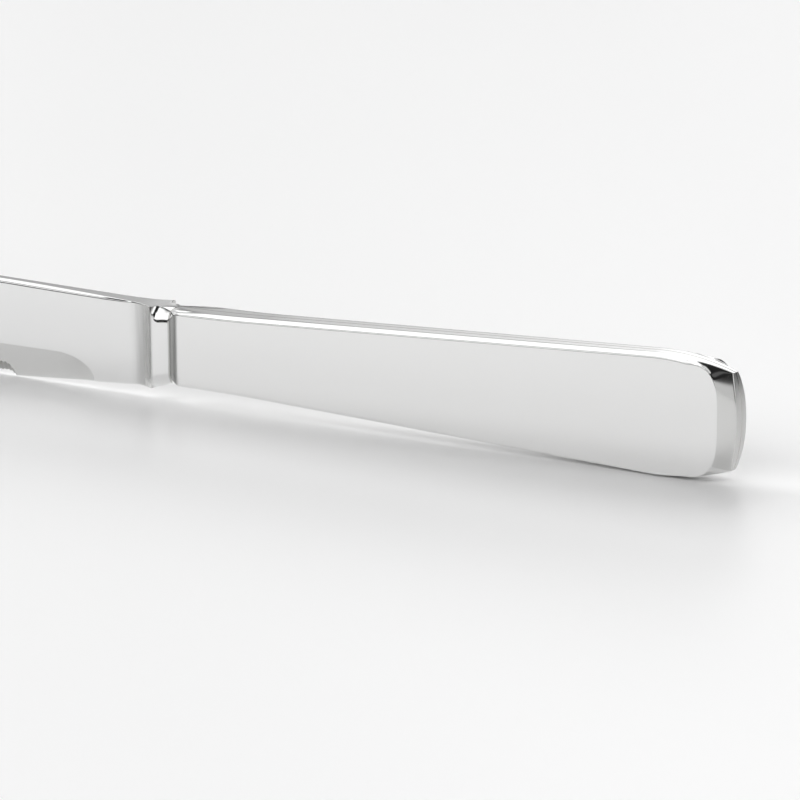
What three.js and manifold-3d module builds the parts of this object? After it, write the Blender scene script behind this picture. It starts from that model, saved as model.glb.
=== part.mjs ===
// Dessert knife with a hollow handle, standing on its cutting edge.
// Millimetres, +Z up. X runs from the tip (-X) to the butt (+X), and -Y is the ground side.
import * as THREE from 'three';
import { mergeVertices } from 'three/addons/utils/BufferGeometryUtils.js';
import Module from 'manifold-3d';

const wasm = await Module();
wasm.setup();

// Whole knife
const overallLength = 212;
const handleLength = 102.3;
const fitGap = 0.3;
const cutOverrun = 1.5;

// Handle outline, seen from the side
const buttHeight = 18.7;
const neckHeight = 12.7;
const buttCrownInset = 12.9;
const buttShoulderRadius = 36;
const buttEndRadius = 23.7;
const taperStart = 10.3;
const taperBlend = 7.8;

// Handle section: side faces, shallow crown bevels and a flat band between them
const handleFrontThickness = 7.9;
const handleButtThickness = 6.2;
const frontBandWidth = 6.6;
const frontBandRun = 16;
const handleBandWidth = 4.6;
const buttBandWidth = 3.1;
const cornerBandWidth = 1.7;
const endBandWidth = 3.2;
const crownDrop = 0.43;
const edgeRound = 0.3;
const fadePower = 1.5;

// Butt corner: the crest lags behind the face, so the corner facet starts askew
const endBevelRun = 2.6;
const faceCornerStart = 9;
const cornerBlend = 14;
const crestLag = 3;
const faceLead = 1.2;
const cornerFullnessShare = 0.6;

// Waisted neck, where the handle mouth meets the bolster
const neckThickness = 5.9;
const neckBandWidth = 3.6;
const neckCornerDrop = 2.2;
const neckConvexityShare = 0.03;
const mouthBandWidth = 4;
const mouthSag = 0.35;
const sagRun = 8;
const mouthWallRun = 2.5;
const waistRun = 3.2;
const waistSideRun = 2.2;
const waistBandRun = 0.6;
const waistEdgeRun = 1.3;
const flareRun = 5;
const bolsterThickness = 7.2;
const bolsterEdge = 0.15;

// Blade outline
const bladeRootRise = 6.6;
const bladeRootDepth = 7.5;
const spinePeakRise = 7.65;
const bellyDepth = 10;
const tipDepth = 1.6;
const spinePeakInset = 56;
const bellyInset = 48;
const spineRootSlopeShare = 0.03;
const edgeRootSlopeShare = 0.072;
const tipFullnessShare = 0.86;

// Blade section
const spineRootThickness = 3.7;
const spineTipThickness = 1.2;
const lowerRootThickness = 2.6;
const lowerTipThickness = 0.9;
const spineBevel = 0.8;
const spineTipBevel = 0.35;
const spineBevelRun = 20;
const spineRootDrop = 0.15;
const spineDrop = 0.4;
const heelChamfer = 0.15;
const leastBandShare = 0.33;
const leastSpineRun = 28;

// Ground bevel with a curved run-out at the heel
const grindDepthBelowAxis = 3.7;
const grindRunOutInset = 8.4;
const grindRunOutLength = 8;
const groundEdgeThickness = 0.4;
const grindTipShare = 0.33;

// Fine serration, ground on one side only
const serrationHeelInset = 25.8;
const serrationTipInset = 17;
const toothPitch = 0.83;
const toothDepth = 0.2;
const serrationLift = 0.66;
const serrationBevelHeight = 1.4;
const serrationRunIn = 2.7;
const serrationApexOffset = 0.3;
const serrationRiseShare = 1.75;

// Shells, solder and cement
const wallThickness = 0.8;
const solderThickness = 0.3;
const spigotLength = 7;
const tangLength = 46;
const tangRootWidth = 6;
const tangTipWidth = 4.2;
const tangThickness = 2.4;
const notchRadius = 0.9;
const notchPitch = 10;
const notchCount = 3;
const cementCover = 5;

// Counts of the facets
const mouthSteps = 6;
const blendSteps = 6;
const taperSteps = 6;
const crownSteps = 3;
const cornerSteps = 3;
const shoulderSteps = 9;
const endSteps = 7;
const flareSteps = 7;
const waistSteps = 9;
const runOutSteps = 10;
const bladeSteps = 10;
const tipSteps = 16;
const scallopSteps = 3;
const notchSteps = 5;
const weldTolerance = 1e-5;

// Places worked out from the sizes
const buttX = overallLength / 2;
const tipX = -overallLength / 2;
const mouthX = buttX - handleLength;
const shellX = mouthX + solderThickness;
const faceStartX = mouthX + mouthWallRun;
const axisZ = buttHeight / 2;
const crownX = buttX - buttCrownInset;
const faceCornerX = buttX - faceCornerStart;
const taperX = mouthX + taperStart;
const ridgeX = mouthX - waistRun;
const rootX = ridgeX - flareRun;
const heelX = rootX - serrationHeelInset;
const runOutX = rootX - grindRunOutInset;
const spinePeakX = Math.min(tipX + spinePeakInset, rootX - leastSpineRun);
const bellyX = Math.min(tipX + bellyInset, rootX - leastSpineRun);
const serrationEndX = tipX + serrationTipInset;

const mix = (a, b, t) => a + (b - a) * t;
const clamp01 = (t) => Math.min(1, Math.max(0, t));
const smooth = (t) => t * t * (3 - 2 * t);
const quarterArc = (t) => Math.sqrt(1 - (1 - t) ** 2);
const steps = (from, to, count) => Array.from({ length: count }, (_, i) => mix(from, to, i / count));

// A cubic that leaves its start with a given slope and arrives level
function easeLevel(t, start, end, startSlope) {
  return start + (end - start) * smooth(t) + startSlope * t * (1 - t) ** 2;
}

// Side outline of the handle: a taper, tangent to the butt shoulder, cut off by the end arc
const shoulderCentre = new THREE.Vector2(crownX, buttHeight / 2 - buttShoulderRadius);
const endCentre = new THREE.Vector2(buttX - buttEndRadius, 0);
const hingeToCentre = new THREE.Vector2(crownX - taperX, shoulderCentre.y - neckHeight / 2);
const taperAngle = hingeToCentre.angle() - 2 * Math.PI
  + Math.asin(buttShoulderRadius / hingeToCentre.length());
const tangentX = crownX - buttShoulderRadius * Math.sin(taperAngle);

function circleCrossing(a, radiusA, b, radiusB) {
  const span = b.clone().sub(a);
  const along = (radiusA ** 2 - radiusB ** 2 + span.lengthSq()) / (2 * span.length());
  const across = Math.sqrt(radiusA ** 2 - along ** 2);
  const direction = span.normalize();
  const up = new THREE.Vector2(-direction.y, direction.x);
  const first = a.clone().addScaledVector(direction, along).addScaledVector(up, across);
  const second = a.clone().addScaledVector(direction, along).addScaledVector(up, -across);
  return first.y > second.y ? first : second;
}

const buttCorner = circleCrossing(shoulderCentre, buttShoulderRadius, endCentre, buttEndRadius);

function handleHalfHeight(x) {
  if (x > tangentX) {
    return shoulderCentre.y + Math.sqrt(buttShoulderRadius ** 2 - (x - crownX) ** 2);
  }
  const d = x - taperX;
  const run = Math.abs(d) < taperBlend ? (d + taperBlend) ** 2 / (4 * taperBlend) : Math.max(0, d);
  return neckHeight / 2 + Math.tan(taperAngle) * run;
}

function handleHalfThickness(x) {
  const along = (x - faceStartX) / (buttX - faceStartX);
  return mix(handleFrontThickness, handleButtThickness, Math.max(0, along)) / 2;
}

// One station of the handle: crest, flat band, half thickness and how far the side face lies below
function handleStation(x) {
  const wall = clamp01((x - mouthX) / mouthWallRun);
  const along = clamp01((x - faceStartX) / (faceCornerX - faceStartX));
  const askew = smooth(clamp01((x - faceCornerX + cornerBlend) / cornerBlend));
  const crestX = x - crestLag * askew;
  const faceX = x + faceLead * askew;
  const frontShare = (1 - clamp01((x - faceStartX) / frontBandRun)) ** fadePower;
  const widened = (frontBandWidth - handleBandWidth) * frontShare;
  const band = mix(handleBandWidth, buttBandWidth, along) + widened;
  return {
    crestX,
    faceX,
    crest: handleHalfHeight(crestX),
    face: handleHalfHeight(faceX) - mix(crownDrop, neckCornerDrop, (1 - wall) ** fadePower),
    band: mix(band, mouthBandWidth, (1 - wall) ** 2) / 2,
    half: mix(neckThickness / 2, handleHalfThickness(faceX), wall),
    sag: mouthSag * (1 - smooth(clamp01((x - mouthX) / sagRun))),
    bulge: 1 - wall,
  };
}

// Stations round the butt: the crest follows the shoulder and end arcs, the face a rounded corner
function buttStation(t) {
  const cornerAngle = Math.atan2(buttCorner.y - shoulderCentre.y, buttCorner.x - shoulderCentre.x);
  const startAngle = Math.acos((faceCornerX - crestLag - crownX) / buttShoulderRadius);
  const endAngle = Math.asin(buttCorner.y / buttEndRadius);
  const split = shoulderSteps / (shoulderSteps + endSteps);
  const onShoulder = t <= split;
  const part = onShoulder ? t / split : (t - split) / (1 - split);
  const angle = onShoulder ? mix(startAngle, cornerAngle, part ** 2) : mix(endAngle, 0, part);
  const centre = onShoulder ? shoulderCentre : endCentre;
  const radius = onShoulder ? buttShoulderRadius : buttEndRadius;
  const shoulderBand = mix(buttBandWidth, cornerBandWidth, part ** 4);
  const endBand = mix(endBandWidth, cornerBandWidth, (1 - part) ** 4);
  const turn = t * Math.PI / 2;
  const cornerX = faceCornerX + faceLead;
  const reach = buttX - endBevelRun - cornerX;
  const rise = handleHalfHeight(cornerX) - crownDrop;
  const faceX = cornerX + reach * Math.sin(turn) ** cornerFullnessShare;
  return {
    crestX: centre.x + radius * Math.cos(angle),
    faceX,
    crest: t === 1 ? 0 : centre.y + radius * Math.sin(angle),
    face: t === 1 ? 0 : rise * Math.cos(turn) ** cornerFullnessShare,
    band: (onShoulder ? shoulderBand : endBand) / 2,
    half: handleHalfThickness(faceX),
    sag: 0,
    bulge: 0,
  };
}

// The points of a station from the top seam down the +Y side, as [x, y, z above the axis]
function stationHalf(s, seam) {
  const crestZ = s.crest - s.sag;
  const bevel = [s.faceX - s.crestX, s.half - s.band, s.face - crestZ];
  const bevelLength = Math.hypot(...bevel);
  const back = Math.min(edgeRound / bevelLength, 0.5);
  const down = Math.min(edgeRound, s.face / 2);
  const onBevel = [s.faceX - bevel[0] * back, s.half - bevel[1] * back, s.face - bevel[2] * back];
  const onFace = [s.faceX, s.half, s.face - down];
  const corner = [s.faceX, s.half, s.face].map((c, i) => (onBevel[i] + onFace[i] + 2 * c) / 4);
  const swell = s.bulge * neckConvexityShare;
  const belly = [
    s.crestX + bevel[0] / 2,
    s.band + bevel[1] / 2 - bevel[2] * swell,
    crestZ + bevel[2] / 2 + bevel[1] * swell,
  ];
  const upper = [[s.crestX, seam, s.crest], [s.crestX, s.band, crestZ], belly, onBevel, corner, onFace];
  return [...upper, ...upper.map(([x, y, z]) => [x, y, -z]).reverse()];
}

// The same station moved inwards by a wall
function inset(s, wall) {
  return {
    crestX: s.crestX - (s.crestX > faceCornerX ? wall * clamp01((s.crestX - faceCornerX) / wall) : 0),
    faceX: s.faceX - (s.crestX > faceCornerX ? wall * clamp01((s.crestX - faceCornerX) / wall) : 0),
    crest: Math.max(0, s.crest - wall),
    face: Math.max(0, s.face - wall),
    band: Math.max(s.band - wall / 2, s.band / 2),
    half: s.half - wall,
    sag: s.sag,
    bulge: s.bulge,
  };
}

const handleXs = [
  ...steps(shellX, faceStartX, mouthSteps),
  ...steps(faceStartX, taperX + taperBlend, blendSteps),
  ...steps(taperX + taperBlend, tangentX, taperSteps),
  ...steps(tangentX, crownX, crownSteps),
  ...steps(crownX, faceCornerX, cornerSteps),
];

function handleStations() {
  const count = shoulderSteps + endSteps;
  const butt = Array.from({ length: count + 1 }, (_, i) => i / count);
  return [...handleXs.map(handleStation), ...butt.map(buttStation)];
}

// A closed mesh from triangles given as corner triples; flat slivers are left out
function meshFrom(triangles) {
  const geometry = new THREE.BufferGeometry();
  geometry.setAttribute('position', new THREE.Float32BufferAttribute(triangles.flat(2), 3));
  const merged = mergeVertices(geometry, weldTolerance);
  const index = merged.getIndex().array;
  const kept = [];
  for (let i = 0; i < index.length; i += 3) {
    const [a, b, c] = [index[i], index[i + 1], index[i + 2]];
    if (a !== b && b !== c && c !== a) kept.push(a, b, c);
  }
  merged.setIndex(kept);
  return merged;
}

// Triangles between two rows of points
function strip(rowA, rowB) {
  const triangles = [];
  for (let i = 0; i + 1 < rowA.length; i += 1) {
    triangles.push([rowA[i], rowB[i], rowB[i + 1]], [rowA[i], rowB[i + 1], rowA[i + 1]]);
  }
  return triangles;
}

function surface(rows) {
  const triangles = [];
  for (let i = 0; i + 1 < rows.length; i += 1) triangles.push(...strip(rows[i], rows[i + 1]));
  return triangles;
}

const turned = (triangles) => triangles.map(([a, b, c]) => [a, c, b]);
const closedRing = (ring) => [...ring, ring[0]];

// A solid through closed rings in order of rising X, with flat fans over its ends
function loft(rings) {
  const triangles = surface(rings.map(closedRing));
  const fan = (ring) => ring.slice(1, -1).map((p, i) => [ring[0], p, ring[i + 2]]);
  triangles.push(...fan(rings[0]), ...turned(fan(rings[rings.length - 1])));
  return meshFrom(triangles);
}

function toManifold(geometry) {
  const plain = geometry.index ? geometry.clone() : geometry;
  plain.deleteAttribute('normal');
  plain.deleteAttribute('uv');
  const merged = mergeVertices(plain, weldTolerance);
  return new wasm.Manifold(new wasm.Mesh({
    numProp: 3,
    vertProperties: new Float32Array(merged.getAttribute('position').array),
    triVerts: new Uint32Array(merged.getIndex().array),
  }));
}

function toGeometry(solid) {
  const mesh = solid.getMesh();
  const geometry = new THREE.BufferGeometry();
  geometry.setAttribute('position', new THREE.BufferAttribute(mesh.vertProperties, 3));
  geometry.setIndex(new THREE.BufferAttribute(mesh.triVerts, 1));
  return geometry;
}

// One half of the handle, pressed from sheet: +1 is the +Y half, -1 the -Y half
function handleShell(side) {
  const seam = solderThickness / 2;
  const place = ([x, y, z]) => [x, side * y, axisZ + z];
  const stations = handleStations();
  const outer = stations.map((s) => stationHalf(s, seam).map(place));
  const inner = stations.map((s) => stationHalf(inset(s, wallThickness), seam).map(place));
  const column = (rows, j) => rows.map((row) => row.at(j));
  const triangles = [
    ...surface(outer),
    ...turned(surface(inner)),
    ...turned(strip(outer[0], inner[0])),
    ...strip(column(outer, 0), column(inner, 0)),
    ...turned(strip(column(outer, -1), column(inner, -1))),
  ];
  return meshFrom(side > 0 ? triangles : turned(triangles));
}

// Foil of solder between the rims of the two shells
function seamSolder() {
  const stations = handleStations();
  const outline = (list) => [
    ...list.map((s) => new THREE.Vector2(s.crestX, s.crest)),
    ...list.slice(0, -1).reverse().map((s) => new THREE.Vector2(s.crestX, -s.crest)),
  ];
  const outer = outline(stations);
  const inner = outline(stations.map((s) => inset(s, wallThickness)));
  const shape = new THREE.Shape([...outer, ...inner.reverse()]);
  const geometry = new THREE.ExtrudeGeometry(shape, { depth: solderThickness, bevelEnabled: false });
  geometry.rotateX(Math.PI / 2);
  geometry.translate(0, solderThickness / 2, axisZ);
  return geometry;
}

// A whole ring of the handle at one station, in the YZ plane
function handleRing(s) {
  const half = stationHalf(s, 0);
  const mirrored = half.slice(1, -1).map(([x, y, z]) => [x, -y, z]).reverse();
  return [...half, ...mirrored].map(([x, y, z]) => [x, y, axisZ + z]);
}

// Ring of solder between the bolster face and the handle mouth
function mouthSolder() {
  const station = handleStation(shellX);
  const flat = (ring) => ring.map(([, y, z]) => new THREE.Vector2(y, z));
  const shape = new THREE.Shape(flat(handleRing(station)));
  shape.holes.push(new THREE.Path(flat(handleRing(inset(station, wallThickness))).reverse()));
  const geometry = new THREE.ExtrudeGeometry(shape, { depth: solderThickness, bevelEnabled: false });
  const upright = new THREE.Matrix4().makeBasis(
    new THREE.Vector3(0, 1, 0), new THREE.Vector3(0, 0, 1), new THREE.Vector3(1, 0, 0),
  );
  geometry.applyMatrix4(upright);
  geometry.translate(mouthX, 0, 0);
  return geometry;
}

// Blade outline: spine and lower line from the bolster to the tip
function spineZ(x) {
  if (x >= rootX) return axisZ + mix(bladeRootRise, neckHeight / 2, smooth((x - rootX) / (mouthX - rootX)));
  if (x > spinePeakX) {
    const run = rootX - spinePeakX;
    return axisZ + easeLevel((rootX - x) / run, bladeRootRise, spinePeakRise, spineRootSlopeShare * run);
  }
  const t = clamp01((spinePeakX - x) / (spinePeakX - tipX));
  return axisZ + mix(-tipDepth, spinePeakRise, (1 - t ** 2) ** (tipFullnessShare / 2));
}

function lowerZ(x) {
  if (x >= rootX) return axisZ - mix(bladeRootDepth, neckHeight / 2, ((x - rootX) / (mouthX - rootX)) ** 2);
  if (x > bellyX) {
    const run = rootX - bellyX;
    return axisZ - easeLevel((rootX - x) / run, bladeRootDepth, bellyDepth, edgeRootSlopeShare * run);
  }
  const t = clamp01((bellyX - x) / (bellyX - tipX));
  return axisZ - mix(tipDepth, bellyDepth, (1 - t ** 2) ** (tipFullnessShare / 2));
}

// How far the ground bevel is developed, from 0 at its run-out to 1
const grindShare = (x) => quarterArc(clamp01((runOutX - x) / grindRunOutLength));

// One ring of the blade or bolster, from the spine round the +Y side
function bladeRing(x) {
  const along = clamp01((rootX - x) / (rootX - tipX));
  const flare = x > ridgeX ? 1 : clamp01((x - rootX) / flareRun) ** 2;
  const pastRidge = Math.max(0, x - ridgeX);
  const waist = quarterArc(clamp01(pastRidge / waistEdgeRun));
  const sideWaist = quarterArc(clamp01(pastRidge / waistSideRun));
  const bandWaist = quarterArc(clamp01(pastRidge / waistBandRun));
  const toMouth = smooth(clamp01(pastRidge / waistRun)) ** 2;
  const narrowed = (blade, bolster) => mix(mix(blade, bolster, flare), neckThickness, sideWaist) / 2;
  const top = spineZ(x);
  const low = lowerZ(x);
  const height = top - low;
  const spineThickness = mix(spineRootThickness, spineTipThickness, along);
  const upperHalf = narrowed(spineThickness, bolsterThickness);
  const lowerHalf = narrowed(mix(lowerRootThickness, lowerTipThickness, along), bolsterThickness);
  const bevelled = smooth(clamp01((rootX - x) / spineBevelRun));
  const bevel = mix(bolsterEdge, mix(spineBevel, spineTipBevel, along), bevelled);
  const wideHalf = mix(spineThickness, bolsterThickness, flare) / 2;
  const neckHalf = mix(neckBandWidth, mouthBandWidth, toMouth) / 2;
  const bandHalf = Math.max(mix(wideHalf - bevel, neckHalf, bandWaist), wideHalf * leastBandShare);
  const sag = mouthSag * toMouth;
  const drop = Math.min(mix(mix(spineRootDrop, spineDrop, bevelled), neckCornerDrop, waist), height / 4);
  const lowDrop = Math.min(mix(heelChamfer, neckCornerDrop, waist), height / 4);
  const ground = grindShare(x);
  const level = axisZ - grindDepthBelowAxis;
  const toTip = smooth(clamp01((bellyX - x) / (bellyX - tipX)));
  const leastGrind = low + grindTipShare * height / 2;
  const fullGrind = Math.max(mix(level, low + grindTipShare * height, toTip), leastGrind);
  const grindZ = ground > 0 ? mix(low + lowDrop, fullGrind, ground) : (top + low) / 2;
  const faceHalf = (z) => mix(lowerHalf, upperHalf, clamp01((z - low) / height));
  const edgeHalf = mix(lowerHalf, groundEdgeThickness / 2, ground);
  const lowBand = mix(edgeHalf * (1 - lowDrop / height), bandHalf, flare);
  const swell = waist * neckConvexityShare;
  const upperMid = [
    (bandHalf + upperHalf) / 2 + (drop - sag) * swell,
    top - (drop + sag) / 2 + (upperHalf - bandHalf) * swell,
  ];
  const lowerMid = [
    (edgeHalf + lowBand) / 2 + lowDrop * swell,
    low + lowDrop / 2 - (edgeHalf - lowBand) * swell,
  ];
  const side = [
    [0, top],
    [bandHalf, top - sag],
    upperMid,
    [upperHalf, top - drop],
    [faceHalf(mix(grindZ, top, 0.5)), mix(grindZ, top, 0.5)],
    [faceHalf(grindZ), grindZ],
    [edgeHalf, low + lowDrop],
    lowerMid,
    [lowBand, low + sag],
    [0, low],
  ];
  return [...side, ...side.map(([y, z]) => [-y, z]).reverse()].map(([y, z]) => [x, y, z]);
}

function bladeXs() {
  const firstTipX = Math.min(spinePeakX, bellyX);
  const lastTurn = Math.PI / 2 * (1 - 1 / tipSteps ** 2);
  const tipRun = Array.from({ length: tipSteps + 1 }, (_, i) => {
    const turn = lastTurn * i / tipSteps;
    return mix(firstTipX, tipX, Math.sin(turn));
  });
  return [
    ...steps(1, 0, waistSteps).map((share) => mix(ridgeX, mouthX, share ** 2)),
    ...steps(ridgeX, rootX, flareSteps),
    rootX,
    ...steps(runOutX, runOutX - grindRunOutLength, runOutSteps),
    ...steps(runOutX - grindRunOutLength, firstTipX, bladeSteps),
    ...tipRun,
  ].reverse();
}

// The wavy cutter that grinds the teeth, leaning so that it leaves the +Y side whole
function serrationCutter() {
  const count = Math.floor((heelX - serrationEndX) / toothPitch);
  const points = [];
  for (let i = 0; i <= count * scallopSteps; i += 1) {
    const x = heelX - toothPitch * i / scallopSteps;
    const phase = (i % scallopSteps) / scallopSteps;
    const fromEnd = Math.min(heelX - x, x - heelX + count * toothPitch);
    const lift = mix(-serrationBevelHeight, serrationLift, quarterArc(clamp01(fromEnd / serrationRunIn)));
    points.push(new THREE.Vector2(x, lowerZ(x) + lift + toothDepth * 4 * phase * (1 - phase)));
  }
  const floorZ = axisZ - bellyDepth - serrationBevelHeight - cutOverrun;
  points.push(new THREE.Vector2(points.at(-1).x, floorZ), new THREE.Vector2(heelX, floorZ));
  const depth = spineRootThickness + 2 * cutOverrun;
  const geometry = new THREE.ExtrudeGeometry(new THREE.Shape(points), { depth, bevelEnabled: false });
  geometry.rotateX(Math.PI / 2);
  geometry.translate(0, depth / 2, 0);
  geometry.applyMatrix4(new THREE.Matrix4().makeShear(0, 0, 0, -serrationRiseShare, 0, 0));
  geometry.translate(0, 0, serrationRiseShare * serrationApexOffset);
  return toManifold(geometry);
}

// Spigot that enters the handle mouth
function spigot() {
  const station = inset(handleStation(shellX), wallThickness + fitGap);
  const at = (x) => handleRing({ ...station, crestX: x, faceX: x });
  return toManifold(loft([at(mouthX - cutOverrun), at(mouthX + spigotLength)]));
}

// Notched rat-tail tang; grow gives the hollow that the cement leaves round it
function tang(grow) {
  const start = mouthX + spigotLength - cutOverrun;
  const end = mouthX + spigotLength + tangLength + grow;
  const halfAt = (x) => mix(tangRootWidth, tangTipWidth, (x - start) / (end - start)) / 2 + grow;
  const upper = [new THREE.Vector2(start, halfAt(start))];
  for (let n = 1; n <= notchCount; n += 1) {
    const centre = mouthX + spigotLength + n * notchPitch;
    const radius = notchRadius - grow;
    for (let i = 0; i <= notchSteps; i += 1) {
      const angle = Math.PI * (1 + i / notchSteps);
      const rise = halfAt(centre) + radius * Math.sin(angle);
      upper.push(new THREE.Vector2(centre + radius * Math.cos(angle), rise));
    }
  }
  upper.push(new THREE.Vector2(end, halfAt(end)));
  const lower = upper.map((p) => new THREE.Vector2(p.x, -p.y)).reverse();
  const depth = tangThickness + 2 * grow;
  const shape = new THREE.Shape([...upper, ...lower]);
  const geometry = new THREE.ExtrudeGeometry(shape, { depth, bevelEnabled: false });
  geometry.rotateX(Math.PI / 2);
  geometry.translate(0, depth / 2, axisZ);
  return toManifold(geometry);
}

function blade() {
  const body = toManifold(loft(bladeXs().map(bladeRing)));
  return toGeometry(body.subtract(serrationCutter()).add(spigot()).add(tang(0)));
}

// Cement that fills the front of the handle and keys into the notches of the tang
function cement() {
  const from = mouthX + spigotLength + fitGap;
  const to = mouthX + spigotLength + tangLength + cementCover;
  const rings = [...steps(from, to, bladeSteps), to]
    .map((x) => handleRing(inset(handleStation(x), wallThickness + fitGap)));
  return toGeometry(toManifold(loft(rings)).subtract(tang(fitGap)));
}

const metal = (color, roughness) => new THREE.MeshStandardMaterial({ color, roughness, metalness: 1 });
const polishedSteel = () => metal(0xd2d2d0, 0.12);
const bladeSteel = () => metal(0xcdcdcb, 0.16);
const silverSolder = () => metal(0xc9c6be, 0.3);
const handleCement = () => new THREE.MeshStandardMaterial({ color: 0xa79c88, roughness: 0.9, metalness: 0 });

const knife = new THREE.Group();

function addPiece(name, geometry, material) {
  const mesh = new THREE.Mesh(geometry, material);
  mesh.name = name;
  knife.add(mesh);
}

addPiece('blade', blade(), bladeSteel());
addPiece('handle_shell_left', handleShell(-1), polishedSteel());
addPiece('handle_shell_right', handleShell(1), polishedSteel());
addPiece('seam_solder', seamSolder(), silverSolder());
addPiece('mouth_solder', mouthSolder(), silverSolder());
addPiece('tang_cement', cement(), handleCement());

export default knife;
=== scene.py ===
import math
from collections import Counter

import bpy
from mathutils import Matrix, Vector


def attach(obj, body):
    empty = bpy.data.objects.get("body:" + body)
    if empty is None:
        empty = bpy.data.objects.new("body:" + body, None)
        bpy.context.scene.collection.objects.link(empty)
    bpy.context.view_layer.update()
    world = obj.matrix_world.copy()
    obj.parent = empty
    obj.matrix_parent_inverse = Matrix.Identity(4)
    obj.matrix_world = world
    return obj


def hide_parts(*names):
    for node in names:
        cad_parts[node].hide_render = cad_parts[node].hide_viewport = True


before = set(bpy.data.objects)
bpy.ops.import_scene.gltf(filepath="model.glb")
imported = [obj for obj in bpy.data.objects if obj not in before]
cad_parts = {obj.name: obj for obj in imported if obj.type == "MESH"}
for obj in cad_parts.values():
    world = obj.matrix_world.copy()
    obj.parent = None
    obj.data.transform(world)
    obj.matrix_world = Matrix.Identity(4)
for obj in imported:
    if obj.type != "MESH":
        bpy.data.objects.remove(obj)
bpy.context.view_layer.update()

MM = 0.001

# The knife's own sizes, in millimetres, as in the solids
OVERALL_LENGTH, HANDLE_LENGTH = 212, 102.3
BUTT_HEIGHT, NECK_HEIGHT, BUTT_CROWN_INSET = 18.7, 12.7, 12.9
SHOULDER_RADIUS, END_RADIUS = 36, 23.7
TAPER_START, TAPER_BLEND = 10.3, 7.8
FRONT_THICKNESS, BUTT_THICKNESS = 7.9, 6.2
FRONT_BAND, WAIST_BAND, BUTT_BAND, CORNER_BAND, END_BAND = 6.6, 4.6, 3.1, 1.7, 3.2
FRONT_BAND_RUN, MOUTH_BAND, MOUTH_SAG, SAG_RUN = 16, 4.1, 0.35, 8
CROWN_DROP, END_BEVEL_RUN, FACE_CORNER_START = 0.43, 2.6, 9
CORNER_BLEND, CREST_LAG, FACE_LEAD, CORNER_POWER, CREST_EASE = 14, 3, 1.2, 0.6, 2
NECK_THICKNESS, NECK_BAND, NECK_CORNER_DROP, MOUTH_CORNER_DROP = 5.9, 3.6, 2.2, 2.1
MOUTH_WALL_RUN, WAIST_RUN, FLARE_RUN = 2.5, 3.2, 5
WAIST_SIDE_RUN, WAIST_BAND_RUN, WAIST_EDGE_RUN = 2.2, 0.6, 1.3
BOLSTER_THICKNESS, BOLSTER_EDGE = 7.2, 0.05
BLADE_ROOT_RISE, BLADE_ROOT_DEPTH = 6.6, 7.5
SPINE_PEAK_RISE, BELLY_DEPTH, TIP_DEPTH = 7.65, 10, 1.6
SPINE_PEAK_INSET, BELLY_INSET = 56, 48
SPINE_ROOT_SLOPE, EDGE_ROOT_SLOPE, TIP_FULLNESS = 0.03, 0.072, 0.86
SPINE_ROOT_THICKNESS, SPINE_TIP_THICKNESS = 3.7, 1.2
LOWER_ROOT_THICKNESS, LOWER_TIP_THICKNESS = 2.6, 0.9
SPINE_BEVEL, SPINE_TIP_BEVEL, SPINE_BEVEL_RUN = 0.8, 0.35, 20
SPINE_ROOT_DROP, SPINE_DROP, HEEL_CHAMFER = 0.25, 0.4, 0.26
GRIND_DEPTH, GRIND_RUN_OUT_INSET, GRIND_RUN_OUT_LENGTH = 3.7, 8.4, 8
GROUND_EDGE, GRIND_TIP_SHARE = 0.4, 0.33
SERRATION_HEEL_INSET, SERRATION_TIP_INSET = 25.8, 17
TOOTH_PITCH, TOOTH_DEPTH, SERRATION_LIFT = 0.83, 0.2, 0.66
SERRATION_BEVEL, SERRATION_RUN_IN, SERRATION_APEX, SERRATION_RISE = 1.4, 2.7, 0.3, 1.75
WALL, SOLDER = 0.8, 0.3
SPIGOT_LENGTH, TANG_LENGTH, TANG_ROOT, TANG_TIP, TANG_THICKNESS = 7, 46, 6, 4.2, 2.4
TANG_INSET, TANG_SOFT_EDGE = 1.5, 0.15
NOTCH_RADIUS, NOTCH_PITCH, NOTCH_COUNT, NOTCH_SIDES = 0.9, 10, 3, 12

BUTT_X, TIP_X = OVERALL_LENGTH / 2, -OVERALL_LENGTH / 2
MOUTH_X = BUTT_X - HANDLE_LENGTH
SHELL_X = MOUTH_X + SOLDER
FACE_START_X = MOUTH_X + MOUTH_WALL_RUN
AXIS_Z = BUTT_HEIGHT / 2
CROWN_X = BUTT_X - BUTT_CROWN_INSET
FACE_CORNER_X = BUTT_X - FACE_CORNER_START
TAPER_X = MOUTH_X + TAPER_START
RIDGE_X = MOUTH_X - WAIST_RUN
ROOT_X = RIDGE_X - FLARE_RUN
HEEL_X = ROOT_X - SERRATION_HEEL_INSET
RUN_OUT_X = ROOT_X - GRIND_RUN_OUT_INSET
SPINE_PEAK_X = TIP_X + SPINE_PEAK_INSET
BELLY_X = TIP_X + BELLY_INSET
SERRATION_END_X = TIP_X + SERRATION_TIP_INSET
TEETH = math.floor((HEEL_X - SERRATION_END_X) / TOOTH_PITCH)

# How soft the polished edges are
CREST_EDGE, FACE_EDGE, NECK_CREST_EDGE, NECK_FACE_EDGE, SPINE_EDGE = 0.5, 0.25, 0.12, 0.7, 0.42
BOLSTER_SOFT_EDGE, LOWER_FACE_EDGE, LOWER_EDGE_FADE = 0.05, 0.45, 2.0
CORNER_CREST_EDGE, NECK_CONVEXITY = 0.5, 0.05
SPINE_BEVEL_EASE, SHARP_ANGLE = 0.6, 24

# Shares of the way across a flat stretch where it has points
THIRDS = (0.33, 0.67)
# A level below everything, where the tooth cutter doesn't reach
NO_CUT = -1e9


def mix(a, b, t):
    return a + (b - a) * t


def clamp01(t):
    return min(1.0, max(0.0, t))


def smooth(t):
    return t * t * (3 - 2 * t)


def quarter_arc(t):
    """Rises from 0 to 1 as a quarter circle, steep at the start."""
    return math.sqrt(max(0.0, 1 - (1 - t) ** 2))


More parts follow.
